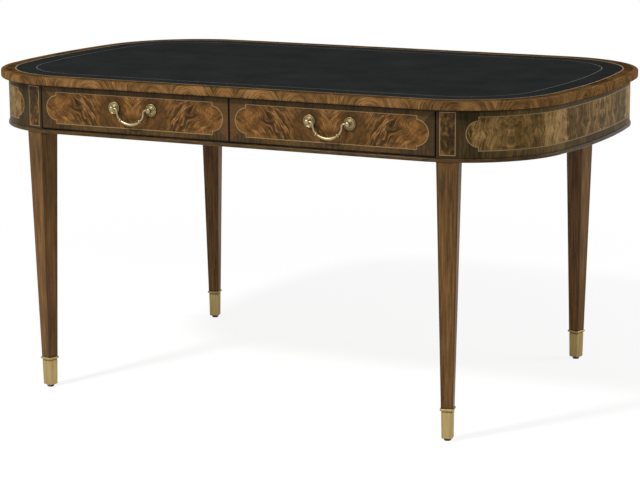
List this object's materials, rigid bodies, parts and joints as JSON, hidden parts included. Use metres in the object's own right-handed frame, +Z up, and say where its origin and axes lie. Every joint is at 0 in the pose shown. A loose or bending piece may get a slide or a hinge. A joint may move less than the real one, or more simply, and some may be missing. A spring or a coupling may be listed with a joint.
{
  "type": "writing table",
  "caption": "Writing table with a black leather top, bowed ends, burl veneer apron with lobed inlay panels, frieze drawers with bail handles and tapered legs in brass sabots.",
  "frame": {"origin": "on the floor under the middle of the top", "axes": "+X along the front to the sitter's right, +Y from the front to the back, +Z up"},
  "size_m": [1.51, 0.915, 0.77],
  "materials": {
    "burl_veneer": "polished burl walnut veneer",
    "ground_veneer": "polished dark walnut veneer",
    "leg_walnut": "polished walnut",
    "stringing": "polished pale boxwood line",
    "leather": "smooth black, tooled line",
    "carcase_wood": "plain, unpolished",
    "drawer_lining": "pale oak, sealed",
    "brass": "mellow polish",
    "steel": "plain",
    "glide": "dark, smooth"
  },
  "bodies": {
    "table": {"top_lipping": "burl_veneer", "top_crossbanding": "burl_veneer", "left_end_panel": "burl_veneer", "right_end_panel": "burl_veneer", "back_panels": "burl_veneer", "leg_panels": "burl_veneer", "back_rail": "ground_veneer", "left_end_rail": "ground_veneer", "right_end_rail": "ground_veneer", "front_lower_rail": "ground_veneer", "front_bead": "ground_veneer", "back_bead": "ground_veneer", "end_beads": "ground_veneer", "leg_beads": "ground_veneer", "front_left_leg": "leg_walnut", "front_right_leg": "leg_walnut", "back_left_leg": "leg_walnut", "back_right_leg": "leg_walnut", "top_stringing": "stringing", "apron_stringing": "stringing", "leg_stringing": "stringing", "leather_inset": "leather", "top_core": "carcase_wood", "front_upper_rail": "carcase_wood", "centre_divider": "carcase_wood", "right_runner": "carcase_wood", "left_runner": "carcase_wood", "centre_runner": "carcase_wood", "drawer_kickers": "carcase_wood", "drawer_stops": "carcase_wood", "corner_braces": "carcase_wood", "front_left_sabot": "brass", "front_right_sabot": "brass", "back_left_sabot": "brass", "back_right_sabot": "brass", "top_screws": "steel", "glides": "glide"},
    "left_drawer": {"left_drawer_front": "ground_veneer", "left_drawer_stringing": "stringing", "left_drawer_panel": "burl_veneer", "left_drawer_inner_side": "drawer_lining", "left_drawer_outer_side": "drawer_lining", "left_drawer_back": "drawer_lining", "left_drawer_bottom": "drawer_lining", "left_rosettes": "brass", "left_posts": "brass", "left_nuts": "steel"},
    "right_drawer": {"right_drawer_front": "ground_veneer", "right_drawer_stringing": "stringing", "right_drawer_panel": "burl_veneer", "right_drawer_inner_side": "drawer_lining", "right_drawer_outer_side": "drawer_lining", "right_drawer_back": "drawer_lining", "right_drawer_bottom": "drawer_lining", "right_rosettes": "brass", "right_posts": "brass", "right_nuts": "steel"},
    "left_bail": {"left_bail": "brass"},
    "right_bail": {"right_bail": "brass"}
  },
  "joints": [
    {"name": "left_drawer_slide", "type": "slide", "parent": "table", "child": "left_drawer", "axis": [0, -1, 0], "range_m": [0, 0.36]},
    {"name": "left_bail_swing", "type": "hinge", "parent": "left_drawer", "child": "left_bail", "pos_m": [-0.25665, -0.452, 0.7065], "axis": [-1, 0, 0], "range_deg": [0, 95]},
    {"name": "right_drawer_slide", "type": "slide", "parent": "table", "child": "right_drawer", "axis": [0, -1, 0], "range_m": [0, 0.36]},
    {"name": "right_bail_swing", "type": "hinge", "parent": "right_drawer", "child": "right_bail", "pos_m": [0.25665, -0.452, 0.7065], "axis": [-1, 0, 0], "range_deg": [0, 95]}
  ]
}
